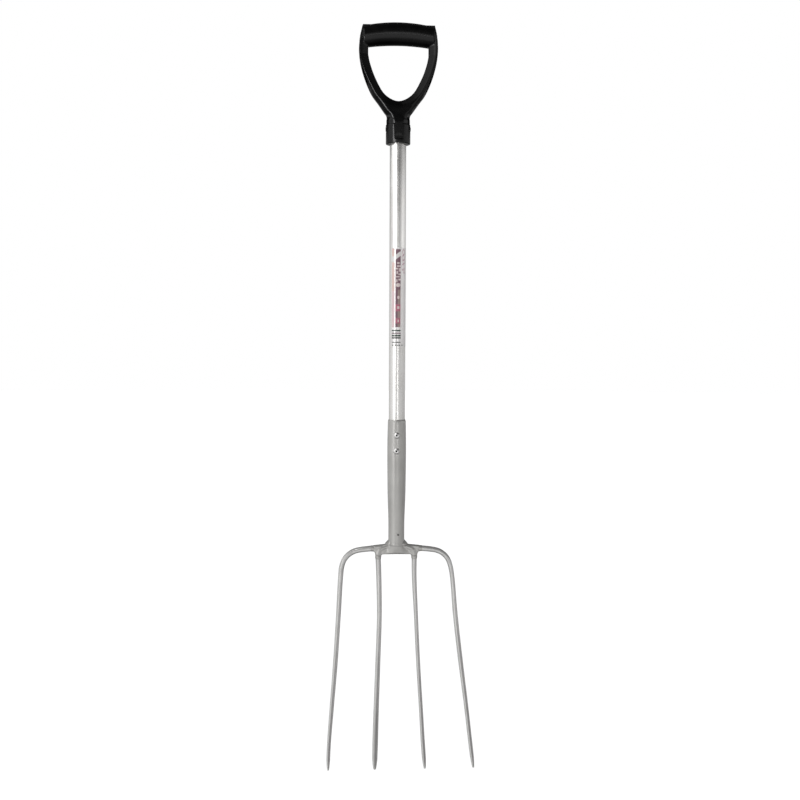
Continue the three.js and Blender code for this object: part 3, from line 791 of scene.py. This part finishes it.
def add_rivet(name, height, turn, steel, black_pin_and_stem_shade):
    """A blind rivet's body, from its dome to its bulb, and the broken stem in it."""
    seat = socket_radius(height) + 0.05
    crown = seat + RIVET_HEAD_RISE + GAP
    back = TUBE_RADIUS - TUBE_WALL - BULB_CLEARANCE
    end = back - BULB_LENGTH
    profile = rounded([[MANDREL_RADIUS, end], [BULB_RADIUS, end], [BULB_RADIUS, back], [RIVET_RADIUS, back],
                       [RIVET_RADIUS, seat], [RIVET_HEAD_RADIUS, seat], [RIVET_HEAD_RADIUS * 0.97, seat + 0.55],
                       [RIVET_HEAD_RADIUS * 0.62, crown - 0.15], [MANDREL_RADIUS, crown],
                       [MANDREL_RADIUS, end]],
                      [0.8, 0.5, 0.2, 0.1, 0.25, 0.5, 1.2, 0.35])
    add_piece(f"rivet_body_{name}", on_front(turned("rivet_body", profile, 48), height, turn), steel,
              "bright_steel", f"socket_rivet_{name}")
    # The stem's end sits just under the crown in near-black steel: painted shade for the rivet's dark hole.
    tip = crown - MANDREL_RECESS
    neck = end - GAP
    stem = MANDREL_RADIUS - 0.1
    mandrel = rounded([[0, neck - STEM_HEAD_LENGTH], [STEM_HEAD_RADIUS - 0.3, neck - STEM_HEAD_LENGTH],
                       [STEM_HEAD_RADIUS, neck], [stem, neck], [stem, tip], [0, tip + 0.2]],
                      [0.8, 0.3, 0.2, 0.3])
    add_piece(f"rivet_stem_{name}", on_front(turned("rivet_stem", mandrel, 32), height, turn), black_pin_and_stem_shade,
              "bright_steel", f"rivet_mandrel_{name}")


# ---------------------------------------------------------------- fork head
def bend(start, corner, end, steps=6):
    """A short curve from start to end that leaves and arrives towards the corner."""
    start, corner, end = map(np.array, (start, corner, end))
    share = np.linspace(0, 1, steps + 1)[:, None]
    return list((1 - share) ** 2 * start + 2 * share * (1 - share) * corner + share ** 2 * end)


HEAD_OUTLINE = half_outline([
    [SOCKET_FOOT_RADIUS, HEAD_HIGH[2]], [STUB_END, STUB_TOP],
    *bend([STUB_END, STUB_FOOT], [LEG_OUTER, STUB_FOOT - 0.6], [LEG_OUTER, LEG_FOOT]),
    *bend([LEG_INNER, LEG_FOOT], [LEG_INNER, WEB_FOOT - 0.8], [LEG_INNER - LEG_FILLET, WEB_FOOT - 0.6]),
    [0, WEB_FOOT]])
# A rib runs from the hub over each stub's root and down its leg, as places across the head and heights.
RIB = [[12, -762.6], [19.5, -765], [25.5, -768.6], [27.9, -775]]
RIB_RADIUS = 3
RIB_OUT = 2.9
HUB_SPREAD = 7
# Weld metal dressed flush closes the joint under the socket.
COLLAR = 0.12
COLLAR_TOP = SOCKET_FOOT + 2.4
HEAD_STEP = 0.5


def path_field(x, y, z, path, radius):
    """Distance from a round rod laid along a path in X and Z."""
    nearest = np.inf
    for (ax, az), (bx, bz) in zip(path, path[1:]):
        dx, dz = bx - ax, bz - az
        share = np.clip(((x - ax) * dx + (z - az) * dz) / (dx * dx + dz * dz), 0, 1)
        nearest = np.minimum(nearest, np.hypot(x - ax - share * dx, z - az - share * dz))
    return np.hypot(nearest, y) - radius


def head_field(x, y, z):
    """The crosshead: a plate with two stubs and two legs, its ribs and its hub."""
    across, depth = np.abs(x), np.abs(y)
    plate = common(outline_field(across, z, HEAD_OUTLINE), depth - PLATE_HALF, 3)
    rib = path_field(across, depth - RIB_OUT, z, smooth_line(RIB, 4), RIB_RADIUS)
    # The hub is round under the socket, then flattens and spreads into the web.
    slope = np.clip((z - WEB_FOOT) / (HEAD_HIGH[2] - WEB_FOOT), 0, 1)
    hub_depth = HUB_FOOT_HALF + (SOCKET_FOOT_RADIUS - HUB_FOOT_HALF) * slope ** 0.8
    hub_width = SOCKET_FOOT_RADIUS + HUB_SPREAD * (1 - slope) ** 1.5
    hub = (np.hypot(x / hub_width, y / hub_depth) - 1) * hub_depth * 0.8
    hub = common(hub, WEB_FOOT + 0.2 - z, 2)
    body = join(join(plate, rib, 1.6), hub, 2.2)
    collar = np.maximum(np.hypot(x, y) - SOCKET_FOOT_RADIUS - COLLAR * (1 - ease(z, SOCKET_FOOT, COLLAR_TOP)),
                        z - COLLAR_TOP)
    body = join(np.maximum(body, z - HEAD_HIGH[2]), np.maximum(collar, HEAD_HIGH[2] - 2 - z), 0.3)
    return np.maximum(body, LEG_FOOT - z)


def add_crosshead(enamel):
    margin = np.array([2, 10, 2]) * HEAD_STEP
    top = [0, 0, COLLAR_TOP - SOCKET_FOOT]
    points, faces = contour(head_field, HEAD_LOW - margin, HEAD_HIGH + margin + top, HEAD_STEP)
    add_piece("forged_crosshead", mesh_from("forged_crosshead", points, faces), enamel, "grey_enamel",
              "crosshead", sharp=55)


def ripple(angle, along, seed):
    """Unevenness of weld metal, from -1 to 1."""
    return (0.5 * np.sin(9 * along + 2 * np.sin(angle + seed)) + 0.3 * np.sin(3 * angle + seed)
            + 0.2 * np.sin(7 * angle + 4 * along + 2 * seed))


def weld_ring(name, seed, squash=1.0):
    """A bead round a joint, drawn up the Z axis about its middle. Its ends dip under what it joins."""
    angle = np.linspace(0, 2 * math.pi, 48, endpoint=False)
    rings = []
    for along in np.linspace(-1, 1, 17):
        crown = NUGGET_RADIUS + 0.3 * math.cos(along * math.pi / 2) - 0.5 * along ** 4
        radius = crown + 0.1 * ripple(angle, 2 * along, seed) * (1 - along ** 4)
        height = along * (NUGGET_LENGTH + 1.4) + 0.4 * np.sin(2 * angle + seed)
        rings.append(np.stack([radius * np.cos(angle), radius * squash * np.sin(angle), height], -1))
    return skin(name, rings)


def add_welds(enamel):
    middle = GAP + NUGGET_LENGTH / 2
    for seed, (name, (side, outer, _, _)) in enumerate(PRONGS.items()):
        node = name.replace("tine", "weld")
        bead = weld_ring(node, seed)
        if outer:
            placed(bead, ACROSS, lift(side * (STUB_END + middle), 0, SHOULDER[0][1]))
        else:
            placed(bead, lift(side * INNER_ROOT[0][0], 0, LEG_FOOT - middle))
        add_piece(f"{node}_bead", bead, enamel, "grey_enamel", node, sharp=60)
    for side, place in ((-1, "left"), (1, "right")):
        add_piece(f"socket_weld_{place}_bead", socket_fillet(side), enamel, "grey_enamel",
                  f"socket_weld_{place}", sharp=60)


def socket_fillet(side):
    """A rippled fillet between the socket's side and the crosshead, thinning out round the socket."""
    inside, under = SOCKET_FOOT_RADIUS - 0.8, SOCKET_FOOT - 1.5
    slant = np.linspace(0, 1, 20)
    rings = []
    for turn in np.linspace(-1, 1, 41):
        size = math.cos(turn * math.pi / 2) ** 0.7
        size *= 1 + 0.05 * math.sin(15 * turn + side) + 0.03 * math.sin(29 * turn)
        out, up = FILLET_REACH * size + 0.1, FILLET_RISE * size + 0.1
        # From the socket's side down the slant, with a slight hump, then back under and up inside.
        hump = 0.2 * size * np.sin(slant * math.pi)
        radius = np.concatenate([SOCKET_FOOT_RADIUS - 0.15 + out * slant + hump * 0.8,
                                 [inside + out, inside, inside]])
        height = np.concatenate([SOCKET_FOOT + up * (1 - slant) + hump * 0.5 - 0.15,
                                 [under, under, SOCKET_FOOT + up - 0.6]])
        angle = turn * FILLET_WRAP * DEGREE
        ring = [side * radius * math.cos(angle), -side * radius * math.sin(angle), height]
        rings.append(np.stack(ring, -1)[::-1])
    return skin("socket_fillet", rings)


def prong_line(side, outer, across):
    """A prong's middle line, from root to point, and each place's distance from the point."""
    root = [[side * x, 0, z] for x, z in (SHOULDER if outer else INNER_ROOT)]
    turn = np.array(STATIONS) / DISH_RADIUS
    dished = np.stack([side * np.array(across), -DISH_RADIUS * (1 - np.cos(turn)),
                       PRONG_DATUM - DISH_RADIUS * np.sin(turn)], -1)
    line = smooth_line([*root, *dished], 24)
    along = np.concatenate([[0], np.cumsum(np.linalg.norm(np.diff(line, axis=0), axis=1))])
    # The root is carried back into the weld, and the rings crowd together at the point.
    ahead = (line[1] - line[0]) / along[1]
    length = along[-1]
    places = np.concatenate([np.linspace(0, length - POINT_LENGTH, PRONG_RINGS, endpoint=False),
                             length - POINT_LENGTH * (1 - np.linspace(0, 1, POINT_RINGS) ** 0.6)])
    points = np.stack([np.interp(places, along, line[:, i]) for i in range(3)], -1)
    back = line[0] - ahead * (NUGGET_LENGTH * 0.6)
    return np.vstack([back, points]), length - np.concatenate([[0], places])


def tine_mesh(name, side, outer, across, widths):
    """A prong's skin. Each ring is square to the middle line, with its depth towards the front."""
    points, to_point = prong_line(side, outer, across)
    tangent = np.gradient(points, axis=0)
    tangent /= np.linalg.norm(tangent, axis=1, keepdims=True)
    front = np.array([0, -1, 0]) + tangent * tangent[:, 1:2]
    front /= np.linalg.norm(front, axis=1, keepdims=True)
    sideways = np.cross(tangent, front)
    down = PRONG_LENGTH - to_point
    point = POINT_SHARE + (1 - POINT_SHARE) * np.sqrt(np.clip(to_point / POINT_LENGTH, 0, 1))
    point *= np.sqrt(np.clip(1 - (1 - np.clip(to_point / POINT_TIP, 0, 1)) ** 2, 0.02, 1))
    root = np.clip((STATIONS[0] - down) / ROOT_TAPER, 0, 1)
    # A round root, drawn out into a section with an edge to the front and back.
    corner = 2 - 0.32 * (1 - root)
    angle = np.linspace(0, 2 * math.pi, PRONG_SIDES, endpoint=False)
    rings = []
    for i, middle in enumerate(points):
        half_width, half_depth = ((np.interp(down[i], STATIONS, sizes) * (1 - root[i]) + ROOT_SIZE * root[i])
                                  * point[i] / 2 for sizes in (widths, PRONG_DEPTHS))
        cosine, sine = np.cos(angle), np.sin(angle)
        power = 2 / corner[i]
        wide = np.sign(cosine) * np.abs(cosine) ** power * half_width
        deep = np.sign(sine) * np.abs(sine) ** power * half_depth
        rings.append(middle + wide[:, None] * sideways[i] + deep[:, None] * front[i])
    return skin(name, rings)


def add_tines(enamel):
    for name, (side, outer, across, widths) in PRONGS.items():
        add_piece(f"{name}_forging", tine_mesh(name, side, outer, across, widths), enamel, "grey_enamel",
                  name, sharp=60)


# ---------------------------------------------------------------- studio
CAMERA_PLACE = (-0.1158, -1.7962, -0.4517)
CAMERA_PITCH = 87.28
CAMERA_YAW = -3.84
CAMERA_ROLL = 0.264
CAMERA_LENS = 52.77
CAMERA_SENSOR = 36
# The floor's radius in metres, and the glow that keeps it white.
FLOOR_RADIUS = 14
FLOOR_GLOW = 0.85


def add_camera():
    camera = bpy.data.objects.new("camera", bpy.data.cameras.new("camera"))
    camera.data.lens = CAMERA_LENS
    camera.data.sensor_width = CAMERA_SENSOR
    camera.matrix_world = (Matrix.Translation(CAMERA_PLACE) @ Matrix.Rotation(CAMERA_YAW * DEGREE, 4, "Z")
                           @ Matrix.Rotation(CAMERA_PITCH * DEGREE, 4, "X")
                           @ Matrix.Rotation(CAMERA_ROLL * DEGREE, 4, "Z"))
    bpy.context.scene.collection.objects.link(camera)
    bpy.context.scene.camera = camera


# The studio's light all round, in bands from floor to ceiling: degrees in plan from the front, where the camera
# is, below zero to the left, and brightness. Windows stand at the front left and, low down, straight in front.
FLOOR_BAND = [(-180, 0.1), (-105, 0.12), (-80, 0.45), (-55, 1.15), (-30, 1.35), (0, 1.3), (30, 1.1), (60, 0.7),
              (85, 0.3), (110, 0.15), (180, 0.1)]
LOW_BAND = [(-180, 0.5), (-140, 0.65), (-100, 0.95), (-70, 1.1), (-50, 0.85), (-35, 0.6), (-20, 0.5), (0, 0.5),
            (25, 0.45), (60, 0.54), (110, 0.54), (180, 0.5)]
LOWER_BAND = [(-180, 0.5), (-140, 0.66), (-100, 0.86), (-70, 1), (-57, 1.25), (-46, 3.4), (-39, 3.4),
              (-25, 0.6), (-8, 0.36), (1, 0.5), (4, 4.3), (8, 4.3), (12, 0.6), (25, 0.55), (60, 0.54),
              (110, 0.54), (180, 0.5)]
UPPER_BAND = [(-180, 0.5), (-140, 0.6), (-100, 0.7), (-75, 0.74), (-60, 0.9), (-48, 1.8), (-42, 2.2),
              (-34, 2.2), (-22, 1.2), (0, 0.88), (20, 0.62), (36, 0.76), (62, 1.35), (75, 1.35), (100, 1.02),
              (130, 0.58), (180, 0.5)]
HIGH_BAND = [(-180, 0.1), (-125, 0.15), (-108, 1.2), (-85, 1.5), (-60, 1.3), (-46, 2.2), (-39, 2.2), (-32, 0.4),
             (-22, 0.14), (-5, 0.08), (30, 0.06), (60, 0.14), (100, 0.25), (140, 0.1), (180, 0.1)]
CEILING_BAND = [(-180, 0.15), (-125, 0.2), (-105, 1.2), (-75, 1.4), (-60, 0.8), (-48, 1.4), (-39, 1.4),
                (-28, 0.35), (-5, 0.1), (30, 0.08), (60, 0.16), (100, 0.25), (140, 0.15), (180, 0.15)]
# Each band above the floor's, with the degrees above the level between which it takes over.
BANDS = [(LOW_BAND, -13, -9.5), (LOWER_BAND, -8, -5.5), (UPPER_BAND, 0, 5), (HIGH_BAND, 11, 13),
         (CEILING_BAND, 16, 24)]
# What all of them are multiplied by, by degrees above the level.
LIGHT_BY_HEIGHT = [(-90, 0.1), (-55, 0.2), (-42, 0.8), (-14, 0.95), (0, 1), (28, 1), (45, 0.6), (62, 0.25),
                   (90, 0.2)]
# Cards that show only in gloss: black ones behind the handle darken its arms' outer sides, and a lit one in
# front brightens their ridge. Each has its two ends in plan, its lowest and highest place, and its light.
CARDS = {
    "flag_left": [(-295, 75), (-120, 240), (-92, 110), 0],
    "flag_right": [(120, 240), (295, 75), (-92, 110), 0],
    "strip_left": [(-290, -290), (-215, -350), (-255, -14), 16],
}


def stepped(nodes, angle, stops):
    """Brightness at an angle, eased between stops."""
    low, high = stops[0][0], stops[-1][0]
    share = nodes.ramp(angle, low * DEGREE, high * DEGREE, shape="LINEAR")
    table = nodes.node("ShaderNodeValToRGB", {"Fac": share})
    table.color_ramp.interpolation = "EASE"
    elements = table.color_ramp.elements
    elements.remove(elements[1])
    for i, (degrees, value) in enumerate(stops):
        element = elements[0] if i == 0 else elements.new((degrees - low) / (high - low))
        element.color = (value, value, value, 1)
    return table.outputs[0]


def add_world():
    """A soft room round the fork for its light and reflections, with plain white behind it in the picture."""
    world = bpy.data.worlds.new("studio")
    world.use_nodes = True
    bpy.context.scene.world = world
    nodes = Nodes(world.node_tree)
    way = nodes.node("ShaderNodeSeparateXYZ", {0: nodes.node("ShaderNodeTexCoord").outputs["Generated"]})
    turn = nodes.math("ARCTAN2", way.outputs["X"], nodes.math("MULTIPLY", way.outputs["Y"], -1.0))
    rise = nodes.math("ARCSINE", way.outputs["Z"])
    light = stepped(nodes, turn, FLOOR_BAND)
    for band, start, end in BANDS:
        share = nodes.ramp(rise, start * DEGREE, end * DEGREE)
        change = nodes.math("SUBTRACT", stepped(nodes, turn, band), light)
        light = nodes.math("MULTIPLY_ADD", change, share, light)
    light = nodes.math("MULTIPLY", light, stepped(nodes, rise, LIGHT_BY_HEIGHT))
    room = world.node_tree.nodes["Background"]
    nodes.feed((1, 1, 1, 1), room.inputs["Color"])
    nodes.feed(light, room.inputs["Strength"])
    backdrop = nodes.node("ShaderNodeBackground", {"Color": (1, 1, 1, 1), "Strength": 1.0})
    seen = nodes.node("ShaderNodeLightPath").outputs["Is Camera Ray"]
    choose = nodes.node("ShaderNodeMixShader", {0: seen, 1: room.outputs[0], 2: backdrop.outputs[0]})
    nodes.feed(choose.outputs[0], world.node_tree.nodes["World Output"].inputs[0])


def add_floor():
    """A pale floor. Gloss and bounced light see the lowest band in its place."""
    shape = bmesh.new()
    bmesh.ops.create_circle(shape, cap_ends=True, segments=96, radius=FLOOR_RADIUS)
    mesh = bpy.data.meshes.new("studio_floor")
    shape.to_mesh(mesh)
    shape.free()
    finish = Finish("studio_floor", (0.86, 0.86, 0.86), Roughness=0.9, Emission_Strength=FLOOR_GLOW)
    finish.surface.inputs["Emission Color"].default_value = (1, 1, 1, 1)
    finish.bump(finish.noise(120, 2), 0.4)
    mesh.materials.append(finish.done())
    floor = bpy.data.objects.new("studio_floor", mesh)
    floor.location.z = cad_box[0].z
    bpy.context.scene.collection.objects.link(floor)
    floor.visible_glossy = False
    floor.visible_diffuse = False


def add_cards():
    for name, (start, end, (low, high), light) in CARDS.items():
        corners = [(*start, low), (*start, high), (*end, high), (*end, low)]
        mesh = mesh_from(name, corners, [(0, 1, 2, 3)])
        finish = Finish(name, (0, 0, 0), Roughness=1.0, Specular_IOR_Level=0.0, Emission_Strength=light)
        finish.surface.inputs["Emission Color"].default_value = (1, 1, 1, 1)
        mesh.materials.append(finish.material)
        card = bpy.data.objects.new(f"studio_{name}", mesh)
        bpy.context.scene.collection.objects.link(card)
        card.visible_camera = False
        card.visible_diffuse = False
        card.visible_shadow = False


def add_studio():
    bpy.context.scene.view_settings.view_transform = "Standard"
    add_camera()
    add_world()
    add_floor()
    add_cards()


def build():
    add_studio()
    enamel = grey_enamel("grey_enamel", *HEAD_PAINT)
    steel = rivet_steel("bright_steel", *PLATED_STEEL)
    # Near-black steel for the cross pin, and painted shade on the rivets' stems.
    black_pin_and_stem_shade = rivet_steel("black_pin_and_stem_shade_steel", *BLACK_PIN_AND_STEM_SHADE)
    add_handle()
    add_handle_pin(black_pin_and_stem_shade)
    add_tube()
    add_label()
    add_socket(enamel)
    for name, height, turn in RIVETS:
        add_rivet(name, height, turn, steel, black_pin_and_stem_shade)
    add_crosshead(enamel)
    add_welds(enamel)
    # The prongs take a paler copy of the enamel, a painted highlight for the light they catch.
    add_tines(grey_enamel("grey_enamel_prongs_painted_light", *LIT_PRONG_PAINT))


build()
bpy.context.view_layer.update()
